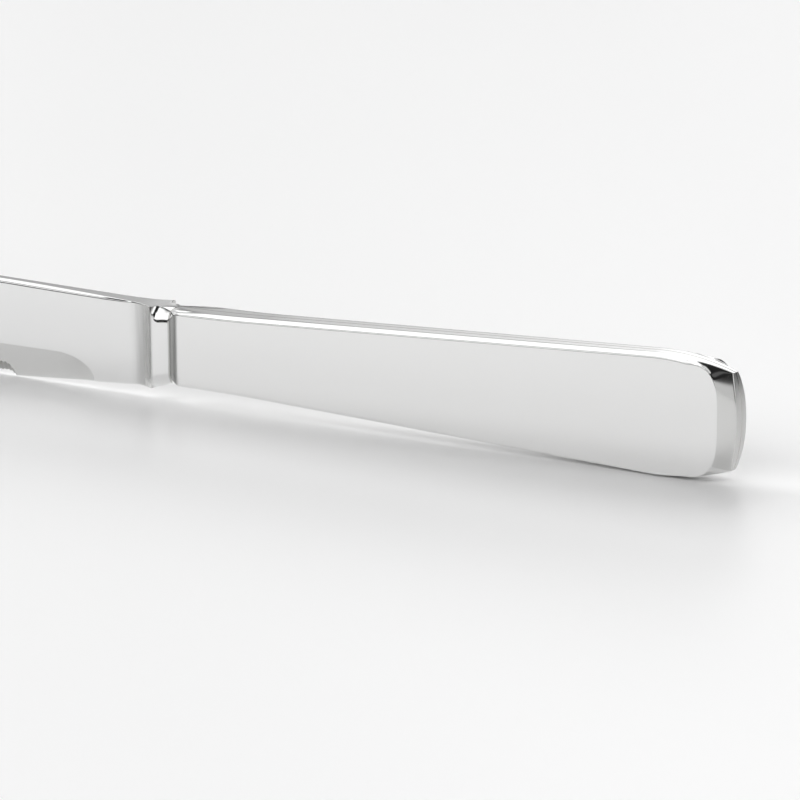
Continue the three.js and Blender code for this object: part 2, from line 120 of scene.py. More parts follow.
def ease_level(t, start, end, slope):
    """Eases from start to end and leaves the start with the given slope."""
    return start + (end - start) * smooth(t) + slope * t * (1 - t) ** 2


def steps(a, b, count):
    return [mix(a, b, i / count) for i in range(count)]


def bezier(a, b, c, count):
    """Points from a to c on a quadratic curve with control b, both ends included."""
    out = []
    for i in range(count + 1):
        t = i / count
        out.append(a * (1 - t) ** 2 + b * (2 * t * (1 - t)) + c * t ** 2)
    return out


# Outline of the handle: a taper tangent to the butt shoulder, cut off by the end arc
SHOULDER = Vector((CROWN_X, BUTT_HEIGHT / 2 - SHOULDER_RADIUS))
END = Vector((BUTT_X - END_RADIUS, 0))
HINGE = Vector((CROWN_X - TAPER_X, SHOULDER.y - NECK_HEIGHT / 2))
TAPER_ANGLE = math.atan2(HINGE.y, HINGE.x) + math.asin(SHOULDER_RADIUS / HINGE.length)
TANGENT_X = CROWN_X - SHOULDER_RADIUS * math.sin(TAPER_ANGLE)


def butt_corner():
    """Where the shoulder arc and the end arc cross."""
    span = END - SHOULDER
    along = (SHOULDER_RADIUS ** 2 - END_RADIUS ** 2 + span.length_squared) / (2 * span.length)
    across = math.sqrt(SHOULDER_RADIUS ** 2 - along ** 2)
    d = span.normalized()
    up = Vector((-d.y, d.x))
    return max((SHOULDER + d * along + up * s for s in (across, -across)), key=lambda p: p.y)


CORNER = butt_corner()


def handle_half_height(x):
    if x > TANGENT_X:
        return SHOULDER.y + math.sqrt(SHOULDER_RADIUS ** 2 - (x - CROWN_X) ** 2)
    d = x - TAPER_X
    run = (d + TAPER_BLEND) ** 2 / (4 * TAPER_BLEND) if abs(d) < TAPER_BLEND else max(0, d)
    return NECK_HEIGHT / 2 + math.tan(TAPER_ANGLE) * run


def handle_half_thickness(x):
    along = (x - FACE_START_X) / (BUTT_X - FACE_START_X)
    return mix(FRONT_THICKNESS, BUTT_THICKNESS, max(0, along)) / 2


def handle_station(x):
    """A station of the handle; near the butt the crest lags behind the face, so the corner facet starts askew."""
    wall = clamp01((x - MOUTH_X) / MOUTH_WALL_RUN)
    along = clamp01((x - FACE_START_X) / (FACE_CORNER_X - FACE_START_X))
    askew = smooth(clamp01((x - FACE_CORNER_X + CORNER_BLEND) / CORNER_BLEND))
    crest_x, face_x = x - CREST_LAG * askew, x + FACE_LEAD * askew
    widened = (FRONT_BAND - WAIST_BAND) * (1 - clamp01((x - FACE_START_X) / FRONT_BAND_RUN)) ** 1.5
    band = mix(MOUTH_BAND, mix(WAIST_BAND, BUTT_BAND, along) + widened, 1 - (1 - wall) ** 2)
    return dict(
        crest_x=crest_x, face_x=face_x, crest=handle_half_height(crest_x),
        face=handle_half_height(face_x) - mix(CROWN_DROP, MOUTH_CORNER_DROP, (1 - wall) ** 1.5),
        band=band / 2, half=mix(NECK_THICKNESS / 2, handle_half_thickness(face_x), wall), bulge=1 - wall,
        sag=MOUTH_SAG * (1 - smooth(clamp01((x - MOUTH_X) / SAG_RUN))), soft=askew)


# Share of the butt's stations that lie on the shoulder arc; the rest lie on the end arc
SHOULDER_SHARE = 9 / 16


def butt_station(t):
    """A station round the butt, from the start of the corner at t = 0 to mid height at t = 1."""
    corner_angle = math.atan2(CORNER.y - SHOULDER.y, CORNER.x - SHOULDER.x)
    start_angle = math.acos((FACE_CORNER_X - CREST_LAG - CROWN_X) / SHOULDER_RADIUS)
    end_angle = math.asin(CORNER.y / END_RADIUS)
    on_shoulder = t <= SHOULDER_SHARE
    part = t / SHOULDER_SHARE if on_shoulder else (t - SHOULDER_SHARE) / (1 - SHOULDER_SHARE)
    angle = mix(start_angle, corner_angle, part ** CREST_EASE) if on_shoulder else mix(end_angle, 0, part)
    centre, radius = (SHOULDER, SHOULDER_RADIUS) if on_shoulder else (END, END_RADIUS)
    shoulder_band = mix(BUTT_BAND, CORNER_BAND, part ** (CREST_EASE * 2))
    band = shoulder_band if on_shoulder else mix(END_BAND, CORNER_BAND, (1 - part) ** 4)
    turn = t * math.pi / 2
    corner_x = FACE_CORNER_X + FACE_LEAD
    reach = BUTT_X - END_BEVEL_RUN - corner_x
    rise = handle_half_height(corner_x) - CROWN_DROP
    face_x = corner_x + reach * math.sin(turn) ** CORNER_POWER
    last = t >= 1
    return dict(
        crest_x=centre.x + radius * math.cos(angle), face_x=face_x,
        crest=0.0 if last else centre.y + radius * math.sin(angle),
        face=0.0 if last else rise * max(0.0, math.cos(turn)) ** CORNER_POWER,
        band=band / 2, half=handle_half_thickness(face_x), bulge=0.0, sag=0.0,
        soft=1 - part if on_shoulder else 0.0)


def inset(s, wall):
    """The station of the inner surface, a wall's thickness inside s."""
    near_end = wall * clamp01((s["crest_x"] - FACE_CORNER_X) / wall) if s["crest_x"] > FACE_CORNER_X else 0
    return dict(
        crest_x=s["crest_x"] - near_end, face_x=s["face_x"] - near_end,
        crest=max(0, s["crest"] - wall), face=max(0, s["face"] - wall),
        band=max(s["band"] - wall / 2, s["band"] / 2), half=s["half"] - wall, bulge=s["bulge"],
        sag=s["sag"], soft=s["soft"])


def soft_corner(crest, face, bulge, crest_edge, face_edge, down):
    """The line over a crown bevel: a soft crest edge, the bevel, and a soft edge into the side face."""
    bevel = face - crest
    control = (crest + face) / 2 + Vector((0, -bevel.z, bevel.y)) * bulge
    first = (control - crest).length
    last = (control - face).length
    a = crest + (control - crest) * min(crest_edge / max(first, 1e-6), 0.45)
    b = face + (control - face) * min(face_edge / max(last, 1e-6), 0.45)
    inner = crest - Vector((0, min(crest_edge, crest.y * 0.2), 0))
    line = bezier(inner, crest, a, 4)
    line += bezier(a, control, b, 6)[1:]
    line += bezier(b, face, face + Vector((0, 0, -down)), 6)[1:]
    return line


def camber(crest, sag, seam):
    """Points of the lightly cambered top from the seam out to the crest line."""
    return [Vector((crest.x, mix(seam, crest.y, k), crest.z + sag * (1 - k * k))) for k in (0, 0.3, 0.55, 0.75)]


def station_quarter(s, seam, edge):
    """From the seam on top over the crown bevel and down to mid height."""
    crest = Vector((s["crest_x"], s["band"], s["crest"] - s["sag"]))
    face = Vector((s["face_x"], s["half"], s["face"]))
    crest_edge = mix(mix(CREST_EDGE, NECK_CREST_EDGE, s["bulge"]), CORNER_CREST_EDGE, s["soft"])
    face_edge = mix(edge, NECK_FACE_EDGE, s["bulge"])
    down = min(face_edge, s["face"] / 2)
    bulge = NECK_CONVEXITY * s["bulge"]
    line = camber(crest, s["sag"], seam)
    line += soft_corner(crest, face, bulge, crest_edge, face_edge, down)
    low = face.z - down
    line += [Vector((face.x, face.y, low * k)) for k in (0.7, 0.35)]
    line.append(Vector((face.x, face.y, 0)))
    return line


def station_half(s, seam):
    """From the seam on top round to the seam below; the lower face edge is softer."""
    lower_edge = mix(FACE_EDGE, LOWER_FACE_EDGE, clamp01(s["face"] / LOWER_EDGE_FADE))
    lower = station_quarter(s, seam, lower_edge)
    return station_quarter(s, seam, FACE_EDGE) + [Vector((p.x, p.y, -p.z)) for p in reversed(lower[:-1])]


def handle_xs():
    """Places of the straight stations, closer where the outline turns."""
    xs = steps(SHELL_X, FACE_START_X, 22)
    xs += steps(FACE_START_X, TAPER_X + TAPER_BLEND, 36)
    xs += steps(TAPER_X + TAPER_BLEND, TANGENT_X, 12)
    xs += steps(TANGENT_X, CROWN_X, 24)
    xs += steps(CROWN_X, FACE_CORNER_X, 10)
    return xs


# Stations of the shoulder and of the end arc, and columns from the seam to past the crest line and the face line
SHOULDER_STATIONS, END_STATIONS = 54, 42
BAND_COLUMNS, BEVEL_COLUMNS = 6, 17


def handle_stations():
    shoulder = steps(0, SHOULDER_SHARE, SHOULDER_STATIONS)
    end = steps(SHOULDER_SHARE, 1, END_STATIONS) + [1]
    return [handle_station(x) for x in handle_xs()] + [butt_station(t) for t in shoulder + end]


# Mesh building
def mesh_object(name, verts, faces, materials, face_slots=None, sharp=()):
    """A mesh in metres from millimetre corners, doubles merged, smooth but for the edges named sharp."""
    keys = [(round(v.x, 4), round(v.y, 4), round(v.z, 4)) for v in verts]
    rings = []
    for i, f in enumerate(faces):
        ring = []
        for key in (keys[j] for j in f):
            if not ring or ring[-1] != key:
                ring.append(key)
        if len(ring) > 1 and ring[0] == ring[-1]:
            ring.pop()
        if len(set(ring)) > 2:
            rings.append((ring, face_slots[i] if face_slots else 0))
    # Two faces on the same corners lie back to back, so both go
    uses = Counter(frozenset(ring) for ring, slot in rings)
    rings = [(ring, slot) for ring, slot in rings if uses[frozenset(ring)] == 1]
    index = {}
    kept = [[index.setdefault(key, len(index)) for key in ring] for ring, slot in rings]
    slots = [slot for ring, slot in rings]
    mesh = bpy.data.meshes.new(name)
    mesh.from_pydata([Vector(key) * MM for key in index], [], kept)
    for m in materials:
        mesh.materials.append(m)
    mesh.polygons.foreach_set("material_index", slots)
    mesh.shade_smooth()
    mesh.set_sharp_from_angle(angle=math.radians(SHARP_ANGLE))
    wanted = {frozenset((index.get(keys[a]), index.get(keys[b]))) for a, b in sharp}
    for e in mesh.edges:
        if frozenset(e.vertices) in wanted:
            e.use_edge_sharp = True
    mesh.validate()
    obj = bpy.data.objects.new(name, mesh)
    bpy.context.scene.collection.objects.link(obj)
    normals = obj.modifiers.new("even_normals", "WEIGHTED_NORMAL")
    normals.mode, normals.weight, normals.keep_sharp = "FACE_AREA", 50, True
    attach(obj, "root")
    return obj


class Builder:
    """Collects corners, faces, material slots and sharp edges for one piece."""

    def __init__(self):
        self.verts, self.faces, self.slots, self.sharp = [], [], [], []

    def row(self, points):
        start = len(self.verts)
        self.verts += points
        return list(range(start, start + len(points)))

    def skin(self, rows, flip=False, closed=False, slot=None):
        rows = [self.row(r) for r in rows]
        n = len(rows[0])
        for i in range(len(rows) - 1):
            for j in range(n if closed else n - 1):
                k = (j + 1) % n
                f = [rows[i][j], rows[i + 1][j], rows[i + 1][k], rows[i][k]]
                self.faces.append(f[::-1] if flip else f)
                self.slots.append(slot(i, j) if slot else 0)
        return rows

    def cap(self, ring, flip=False):
        self.faces.append(list(reversed(ring)) if flip else list(ring))
        self.slots.append(0)

    def done(self, name, materials):
        return mesh_object(name, self.verts, self.faces, materials, self.slots, self.sharp)


def handle_shell(name, side, materials):
    """One pressed half: an outer and an inner skin, joined at the mouth and along the seam."""
    stations = handle_stations()
    end_row = len(stations) - END_STATIONS - 1

    def skin_row(s):
        return [Vector((p.x, side * p.y, AXIS_Z + p.z)) for p in station_half(s, SOLDER / 2)]

    outer = [skin_row(s) for s in stations]
    inner = [skin_row(inset(s, WALL)) for s in stations]
    flip = side < 0
    last = len(outer[0]) - 2

    def slot(i, j):
        across = min(j, last - j)
        if i < end_row or across >= BEVEL_COLUMNS:
            return 0
        return 1 if across < BAND_COLUMNS else 2

    b = Builder()
    b.skin(outer, flip, slot=slot)
    b.skin(inner, not flip)
    b.skin([outer[0], inner[0]], not flip)
    b.skin([[r[0] for r in outer], [r[0] for r in inner]], flip)
    b.skin([[r[-1] for r in outer], [r[-1] for r in inner]], not flip)
    return b.done(name, materials)


def seam_strip(material):
    """The foil of solder between the halves, along the top, round the butt and back below."""
    stations = handle_stations()

    def outline(list_of):
        top = [Vector((s["crest_x"], 0, s["crest"])) for s in list_of]
        return top + [Vector((p.x, 0, -p.z)) for p in reversed(top[:-1])]

    outer, inner = outline(stations), outline([inset(s, WALL) for s in stations])
    b = Builder()
    sides = []
    for line, y in ((outer, -1), (outer, 1), (inner, 1), (inner, -1)):
        sides.append([Vector((p.x, y * SOLDER / 2, AXIS_Z + p.z)) for p in line])
    rows = [list(c) for c in zip(*sides)]
    rows = b.skin(rows, closed=True)
    b.cap(rows[0])
    b.cap(rows[-1], flip=True)
    return b.done("handle_seam", [material])


def full_ring(s):
    """The closed outline of a station, both halves."""
    half = station_half(s, 0)[1:-1]
    ring = half + [Vector((p.x, -p.y, p.z)) for p in reversed(half)]
    return [Vector((p.x, p.y, AXIS_Z + p.z)) for p in ring]


def mouth_ring(material):
    """The ring of solder between the bolster and the mouth of the handle."""
    s = handle_station(SHELL_X)
    outer, inner = full_ring(s), full_ring(inset(s, WALL))

    def moved(ring, x):
        return [Vector((x, p.y, p.z)) for p in ring]

    b = Builder()
    loops = [moved(outer, MOUTH_X), moved(outer, SHELL_X), moved(inner, SHELL_X), moved(inner, MOUTH_X),
             moved(outer, MOUTH_X)]
    b.skin(loops, closed=True)
    return b.done("mouth_ring", [material])


# Blade and bolster
def spine_z(x):
    if x >= ROOT_X:
        return AXIS_Z + mix(BLADE_ROOT_RISE, NECK_HEIGHT / 2, smooth((x - ROOT_X) / (MOUTH_X - ROOT_X)))
    if x > SPINE_PEAK_X:
        run = ROOT_X - SPINE_PEAK_X
        return AXIS_Z + ease_level((ROOT_X - x) / run, BLADE_ROOT_RISE, SPINE_PEAK_RISE, SPINE_ROOT_SLOPE * run)
    t = clamp01((SPINE_PEAK_X - x) / (SPINE_PEAK_X - TIP_X))
    return AXIS_Z + mix(-TIP_DEPTH, SPINE_PEAK_RISE, (1 - t ** 2) ** (TIP_FULLNESS / 2))


def lower_z(x):
    if x >= ROOT_X:
        return AXIS_Z - mix(BLADE_ROOT_DEPTH, NECK_HEIGHT / 2, ((x - ROOT_X) / (MOUTH_X - ROOT_X)) ** 2)
    if x > BELLY_X:
        run = ROOT_X - BELLY_X
        return AXIS_Z - ease_level((ROOT_X - x) / run, BLADE_ROOT_DEPTH, BELLY_DEPTH, EDGE_ROOT_SLOPE * run)
    t = clamp01((BELLY_X - x) / (BELLY_X - TIP_X))
    return AXIS_Z - mix(TIP_DEPTH, BELLY_DEPTH, (1 - t ** 2) ** (TIP_FULLNESS / 2))


def grind_share(x):
    return quarter_arc(clamp01((RUN_OUT_X - x) / GRIND_RUN_OUT_LENGTH))


def serration_level(x):
    """Height at which the tooth cutter meets the plane y = 0, or None where it doesn't cut."""
    if x > HEEL_X or x < HEEL_X - TEETH * TOOTH_PITCH:
        return None
    phase = ((HEEL_X - x) / TOOTH_PITCH) % 1
    from_end = min(HEEL_X - x, x - HEEL_X + TEETH * TOOTH_PITCH)
    lift = mix(-SERRATION_BEVEL, SERRATION_LIFT, quarter_arc(clamp01(from_end / SERRATION_RUN_IN)))
    level = lower_z(x) + lift + TOOTH_DEPTH * 4 * phase * (1 - phase)
    return level + SERRATION_RISE * SERRATION_APEX


def grind_level(x, top, low, low_drop):
    """Height where the ground bevel starts; behind its run-out the line fades to mid height."""
    share = GRIND_TIP_SHARE * (top - low)
    to_tip = smooth(clamp01((BELLY_X - x) / (BELLY_X - TIP_X)))
    full = max(mix(AXIS_Z - GRIND_DEPTH, low + share, to_tip), low + share / 2)
    plain = smooth(clamp01((x - RUN_OUT_X) / (ROOT_X - RUN_OUT_X)))
    return mix(mix(low + low_drop, full, grind_share(x)), (top + low) / 2, plain)


def blade_section(x):
    """Sizes of the blade, the bolster or the neck at x: heights, half widths, drops and soft edges."""
    along = clamp01((ROOT_X - x) / (ROOT_X - TIP_X))
    bevelled = clamp01((ROOT_X - x) / SPINE_BEVEL_RUN) ** SPINE_BEVEL_EASE
    flare = 1 if x > RIDGE_X else clamp01((x - ROOT_X) / FLARE_RUN) ** 2
    past_ridge = max(0.0, x - RIDGE_X)
    waist = quarter_arc(clamp01(past_ridge / WAIST_EDGE_RUN))
    side_waist = quarter_arc(clamp01(past_ridge / WAIST_SIDE_RUN))
    band_waist = quarter_arc(clamp01(past_ridge / WAIST_BAND_RUN))
    to_mouth = smooth(clamp01(past_ridge / WAIST_RUN)) ** 2

    upper = mix(mix(SPINE_ROOT_THICKNESS, SPINE_TIP_THICKNESS, along), BOLSTER_THICKNESS, flare)
    lower = mix(mix(LOWER_ROOT_THICKNESS, LOWER_TIP_THICKNESS, along), BOLSTER_THICKNESS, flare)
    upper_half = mix(upper, NECK_THICKNESS, side_waist) / 2
    lower_half = mix(lower, NECK_THICKNESS, side_waist) / 2
    spine_bevel = mix(BOLSTER_EDGE, mix(SPINE_BEVEL, SPINE_TIP_BEVEL, along), bevelled)
    neck_band = mix(NECK_BAND, MOUTH_BAND, to_mouth)
    band_half = max(mix(upper / 2 - spine_bevel, neck_band / 2, band_waist), upper / 6)

    top, low = spine_z(x), lower_z(x)
    most_drop = (top - low) / 4
    neck_drop = mix(NECK_CORNER_DROP, MOUTH_CORNER_DROP, to_mouth)
    drop = min(mix(mix(SPINE_ROOT_DROP, SPINE_DROP, bevelled), neck_drop, waist), most_drop)
    low_drop = min(mix(HEEL_CHAMFER, neck_drop, waist), most_drop)
    edge_half = mix(lower_half, GROUND_EDGE / 2, grind_share(x))
    soft_edge = mix(SPINE_EDGE, BOLSTER_SOFT_EDGE, flare)
    return dict(
        x=x, top=top, low=low, grind=grind_level(x, top, low, low_drop), drop=drop, low_drop=low_drop,
        sag=MOUTH_SAG * to_mouth, upper_half=upper_half, lower_half=lower_half, edge_half=edge_half,
        band_half=band_half, low_band=mix(max(edge_half - low_drop, edge_half / 2), band_half, flare),
        bulge=NECK_CONVEXITY * waist, face_edge=mix(soft_edge, NECK_FACE_EDGE, waist),
        crest_edge=min(mix(soft_edge, NECK_CREST_EDGE, waist), band_half * 0.8))


def blade_half(s):
    """One side of a section, as the points of the spine, of the side face and of the heel."""
    x = s["x"]
    height = s["top"] - s["low"]
    crest = Vector((x, s["band_half"], s["top"] - s["sag"]))
    shoulder = Vector((x, s["upper_half"], s["top"] - s["drop"]))
    down = min(s["face_edge"], (shoulder.z - s["grind"]) / 2)
    spine = camber(crest, s["sag"], 0)
    spine += soft_corner(crest, shoulder, s["bulge"], s["crest_edge"], s["face_edge"], down)

    levels = [mix(spine[-1].z, s["grind"], k) for k in (*THIRDS, 1)]
    face = [Vector((x, mix(s["lower_half"], s["upper_half"], clamp01((z - s["low"]) / height)), z))
            for z in levels]

    # The heel is drawn upside down, with the spine's functions
    sole = Vector((x, s["low_band"], -s["low"] - s["sag"]))
    edge = Vector((x, s["edge_half"], -s["low"] - s["low_drop"]))
    low_edge = min(s["face_edge"], s["low_drop"])
    heel = camber(sole, s["sag"], 0)
    heel += soft_corner(sole, edge, s["bulge"], min(s["crest_edge"], s["low_band"] * 0.5), low_edge,
                        low_edge * 0.5)
    return spine, face, [Vector((p.x, p.y, -p.z)) for p in reversed(heel)]


def cut_side(spine, face, heel, cut, sign):
    """The points of one side, with the heel lifted to the tooth cutter, a plane that falls towards +y."""
    def cutter(p):
        return NO_CUT if cut is None else cut - SERRATION_RISE * sign * p.y

    grind, edge = face[-1], heel[0]
    above_grind, above_edge = grind.z - cutter(grind), edge.z - cutter(edge)
    end = edge
    if above_edge < 0:
        end = grind.lerp(edge, clamp01(above_grind / (above_grind - above_edge)))
    points = spine + face + [grind.lerp(end, k) for k in THIRDS] + [end]
    points += [Vector((p.x, p.y, max(p.z, cutter(p)))) for p in heel[1:]]
    return [Vector((p.x, sign * p.y, p.z)) for p in points]


def blade_ring(x):
    """One ring of the blade or bolster, with the columns of the grind line and of the edge."""
    spine, face, heel = blade_half(blade_section(x))
    far_side, near_side = (cut_side(spine, face, heel, serration_level(x), sign) for sign in (1, -1))
    return far_side + near_side[::-1], len(spine) + len(THIRDS), len(spine) + len(face) + len(THIRDS)


# Rings to a tooth, and the share of the tip's arc that the last ring keeps short of its point
RINGS_PER_TOOTH, TIP_ARC_SHARE = 8, 0.997


def blade_xs():
    """Places of the rings, closer where the neck, the run-out, the teeth and the tip turn."""
    xs = [mix(RIDGE_X, MOUTH_X, (1 - i / 40) ** 2.2) for i in range(40)]
    xs += steps(RIDGE_X, ROOT_X, 30)
    xs += steps(ROOT_X, RUN_OUT_X, 8)
    xs += [mix(RUN_OUT_X, RUN_OUT_X - GRIND_RUN_OUT_LENGTH, (i / 40) ** 1.7) for i in range(40)]
    xs += steps(RUN_OUT_X - GRIND_RUN_OUT_LENGTH, HEEL_X, 12)
    xs += [HEEL_X - TOOTH_PITCH * i / RINGS_PER_TOOTH for i in range(TEETH * RINGS_PER_TOOTH + 1)]
    start_angle = math.asin(clamp01((BELLY_X - xs[-1]) / (BELLY_X - TIP_X)))
    last_angle = math.pi / 2 * TIP_ARC_SHARE
    xs += [mix(BELLY_X, TIP_X, math.sin(mix(start_angle, last_angle, i / 48))) for i in range(1, 49)]
    return xs


def blade(materials):
    """The forging: polished blade and bolster, ground bevels and the one-sided serration."""
    xs = blade_xs()
    rings = []
    for x in xs:
        ring, grind, edge = blade_ring(x)
        rings.append(ring)
    count = len(rings[0])
    far_grind, far_edge = count - 1 - grind, count - 1 - edge

    def slot(i, j):
        x = (xs[i] + xs[min(i + 1, len(xs) - 1)]) / 2
        across = min(j, count - 2 - j) if j < count - 1 else 0
        if x > RUN_OUT_X or across < grind:
            return 0
        return 2 if serration_level(x) is not None and edge <= j < far_edge else 1

    b = Builder()
    rows = b.skin(rings, flip=True, closed=True, slot=slot)
    for i in range(len(rows) - 1):
        lines = [grind, far_grind] if xs[i + 1] < RUN_OUT_X else []
        if xs[i + 1] < HEEL_X and serration_level(xs[i]) is not None:
            lines += [edge, far_edge]
        b.sharp += [(rows[i][j], rows[i + 1][j]) for j in lines]
    b.cap(rows[0], flip=True)
    b.cap(rows[-1])
    return b.done("blade_forging", materials)


def plate(name, outline, y_half, soft, material):
    """A plate with the given outline in XZ, softened along its rim."""
    centre = sum(outline, Vector((0, 0))) / len(outline)
    inner = [p + (centre - p).normalized() * soft for p in outline]
    b = Builder()
    rows = [[Vector((p.x, y, AXIS_Z + p.y)) for p in ring]
            for y, ring in ((-y_half, inner), (-y_half + soft, outline), (y_half - soft, outline), (y_half, inner))]
    rows = b.skin(rows, flip=True, closed=True)
    b.cap(rows[0], flip=True)
    b.cap(rows[-1])
    return b.done(name, [material])


def tang(material):
    """The rat-tail tang, with round notches that key it into the cement."""
    start, end = MOUTH_X + TANG_INSET, MOUTH_X + SPIGOT_LENGTH + TANG_LENGTH

    def half_at(x):
        return mix(TANG_ROOT, TANG_TIP, (x - start) / (end - start)) / 2

    upper = [Vector((start, half_at(start)))]
    for k in range(1, NOTCH_COUNT + 1):
        centre = MOUTH_X + SPIGOT_LENGTH + k * NOTCH_PITCH
        for i in range(NOTCH_SIDES + 1):
            a = math.pi * (1 + i / NOTCH_SIDES)
            upper.append(Vector((centre + NOTCH_RADIUS * math.cos(a), half_at(centre) + NOTCH_RADIUS * math.sin(a))))
    upper.append(Vector((end, half_at(end))))
    outline = upper + [Vector((p.x, -p.y)) for p in reversed(upper)]
    return plate("rat_tail_tang", outline, TANG_THICKNESS / 2, TANG_SOFT_EDGE, material)


# Materials
EVEN = (1, 1, 1)


class Nodes:
    """A node material, with short names for the nodes that the materials share."""

    def __init__(self, name):
        self.material = bpy.data.materials.new(name)
        self.material.use_nodes = True
        self.tree = self.material.node_tree
        self.shader = self.tree.nodes["Principled BSDF"]
        self.place = self.add("ShaderNodeTexCoord")

    def add(self, kind, **inputs):
        node = self.tree.nodes.new(kind)
        for key, value in inputs.items():
            node.inputs[key.replace("_", " ")].default_value = value
        return node

    def link(self, a, b):
        self.tree.links.new(a, b)

    def stretched_noise(self, size, scale, detail=3.0, rough=0.55):
        mapping = self.add("ShaderNodeMapping")
        mapping.inputs["Scale"].default_value = size
        self.link(self.place.outputs["Object"], mapping.inputs["Vector"])
        noise = self.add("ShaderNodeTexNoise", Scale=scale, Detail=detail, Roughness=rough)
        self.link(mapping.outputs["Vector"], noise.inputs["Vector"])
        return noise.outputs["Fac"]

    def ranged(self, value, low, high, from_low=0.3, from_high=0.7):
        node = self.add("ShaderNodeMapRange")
        node.inputs["From Min"].default_value = from_low
        node.inputs["From Max"].default_value = from_high
        node.inputs["To Min"].default_value = low
        node.inputs["To Max"].default_value = high
        self.link(value, node.inputs["Value"])
        return node.outputs["Result"]

    def blend(self, factor, a, b, over=None):
        """Colour a, or the linked colour over, changing to b with the factor."""
        node = self.add("ShaderNodeMix")
        node.data_type = "RGBA"
        if over is None:
            node.inputs[6].default_value = (*a, 1)
        else:
            self.link(over, node.inputs[6])
        node.inputs[7].default_value = (*b, 1)
        self.link(factor, node.inputs[0])
        return node.outputs[2]

    def maths(self, kind, *values):
        node = self.add("ShaderNodeMath")
        node.operation = kind
        for i, v in enumerate(values):
            if isinstance(v, (int, float)):
                node.inputs[i].default_value = v
            else:
                self.link(v, node.inputs[i])
        return node.outputs[0]

    def split(self, vector):
        node = self.add("ShaderNodeSeparateXYZ")
        self.link(vector, node.inputs[0])
        return node.outputs

    def bump(self, height, strength, distance, before=None):
        node = self.add("ShaderNodeBump", Strength=strength, Distance=distance)
        self.link(height, node.inputs["Height"])
        if before is not None:
            self.link(before, node.inputs["Normal"])
        return node.outputs["Normal"]


# Size of the soft buffing waves and depth of the fine lines, in metres
WAVE_DEPTH, LINE_DEPTH = 0.0002, 0.00001


def steel(name, tones, rough, lines, line_scale, line_bump, wave_bump=0.008, rough_and_shaded=None):
    """Polished or ground steel: fine lines stretched as in `lines`, soft buffing waves and a slight tone change."""
    n = Nodes(name)
    s = n.shader
    s.inputs["Metallic"].default_value = 1
    grain = n.stretched_noise(lines, line_scale, 4.0, 0.6)
    cloud = n.stretched_noise(EVEN, 45, 2.0, 0.5)
    wide = n.stretched_noise(EVEN, 110, 1.0, 0.4)
    colour = n.blend(cloud, *tones)
    roughness = n.ranged(n.maths("ADD", grain, cloud), *rough, 0.7, 1.3)
    # Where asked, an upright recessed wall is painted darker as shade, in streaks, and made rougher.
    if rough_and_shaded:
        share = shaded_rough_share(n, *rough_and_shaded["reach"])
        tone = rough_and_shaded["tone"]
        colour = n.blend(share, None, (tone, tone, tone * 0.985), colour)
        roughness = n.maths("ADD", roughness, n.maths("MULTIPLY", share, rough_and_shaded["rough"]))
    n.link(colour, s.inputs["Base Color"])
    n.link(roughness, s.inputs["Roughness"])
    waves = n.bump(wide, wave_bump, WAVE_DEPTH)
    n.link(n.bump(grain, line_bump, LINE_DEPTH, waves), s.inputs["Normal"])
    return n.material


def shaded_rough_share(n, start, full, full_until, end):
    """How far the steel is less polished, where the buffing wheel hardly reaches, and painted darker there as shade:
    an upright wall between start and end, in streaks.
    """
    along = n.split(n.place.outputs["Object"])[0]
    facing = n.split(n.add("ShaderNodeNewGeometry").outputs["Normal"])[2]
    upright = n.ranged(n.maths("ABSOLUTE", facing), 1, 0, 0.2, 0.4)
    reach = n.maths("MULTIPLY", n.ranged(along, 0, 1, start * MM, full * MM),
                    n.ranged(along, 1, 0, full_until * MM, end * MM))
    streaks = n.ranged(n.stretched_noise((1, 1, 0.04), 1400, 3.0, 0.6), 0.65, 1.1, 0.35, 0.65)
    return n.maths("MULTIPLY", n.maths("MULTIPLY", upright, reach), streaks)


def polished_handle():
    # Painted shade: the wall inside the mouth is painted dark, standing in for the dark reflections in the recess,
    # and made rougher.
    mouth_wall_shade = dict(reach=(SHELL_X - 1, SHELL_X, FACE_START_X - 0.5, FACE_START_X + 0.1), tone=0.36, rough=0.2)
    return steel("polished_steel", tones=((0.885, 0.885, 0.878), (0.905, 0.905, 0.9)), rough=(0.07, 0.12),
                 lines=(0.05, 1, 1), line_scale=9000, line_bump=0.05, rough_and_shaded=mouth_wall_shade)


def polished_blade():
    # Painted shade: the flare of the bolster is painted darker, standing in for the dark reflection it shows, and
    # made rougher.
    bolster_flare_shade = dict(reach=(ROOT_X - 0.8, RIDGE_X - 1, RIDGE_X, RIDGE_X + 0.3), tone=0.68, rough=0.22)
    return steel("blade_steel", tones=((0.89, 0.89, 0.885), (0.905, 0.907, 0.905)), rough=(0.08, 0.13),
                 lines=(0.05, 1, 1), line_scale=8000, line_bump=0.06, rough_and_shaded=bolster_flare_shade)


def brushed_end():
    return steel("brushed_steel", tones=((0.62, 0.62, 0.61), (0.74, 0.74, 0.73)), rough=(0.27, 0.35),
                 lines=(1, 1, 0.04), line_scale=3500, line_bump=0.3)


def satin_corner():
    return steel("satin_steel", tones=((0.76, 0.76, 0.75), (0.79, 0.79, 0.78)), rough=(0.15, 0.2),
                 lines=(1, 1, 0.04), line_scale=4500, line_bump=0.15)


def ground_steel():
    return steel("ground_steel", tones=((0.79, 0.79, 0.782), (0.82, 0.82, 0.812)), rough=(0.2, 0.27),
                 lines=(1, 0.3, 0.03), line_scale=7000, line_bump=0.2)


def tooth_steel():
    return steel("tooth_steel", tones=((0.38, 0.38, 0.37), (0.46, 0.46, 0.45)), rough=(0.3, 0.4),
                 lines=(1, 0.05, 0.05), line_scale=9000, line_bump=0.25)


def solder():
    return steel("silver_solder", tones=((0.56, 0.555, 0.54), (0.63, 0.625, 0.61)), rough=(0.16, 0.24),
                 lines=(0.4, 1, 1), line_scale=5000, line_bump=0.06)


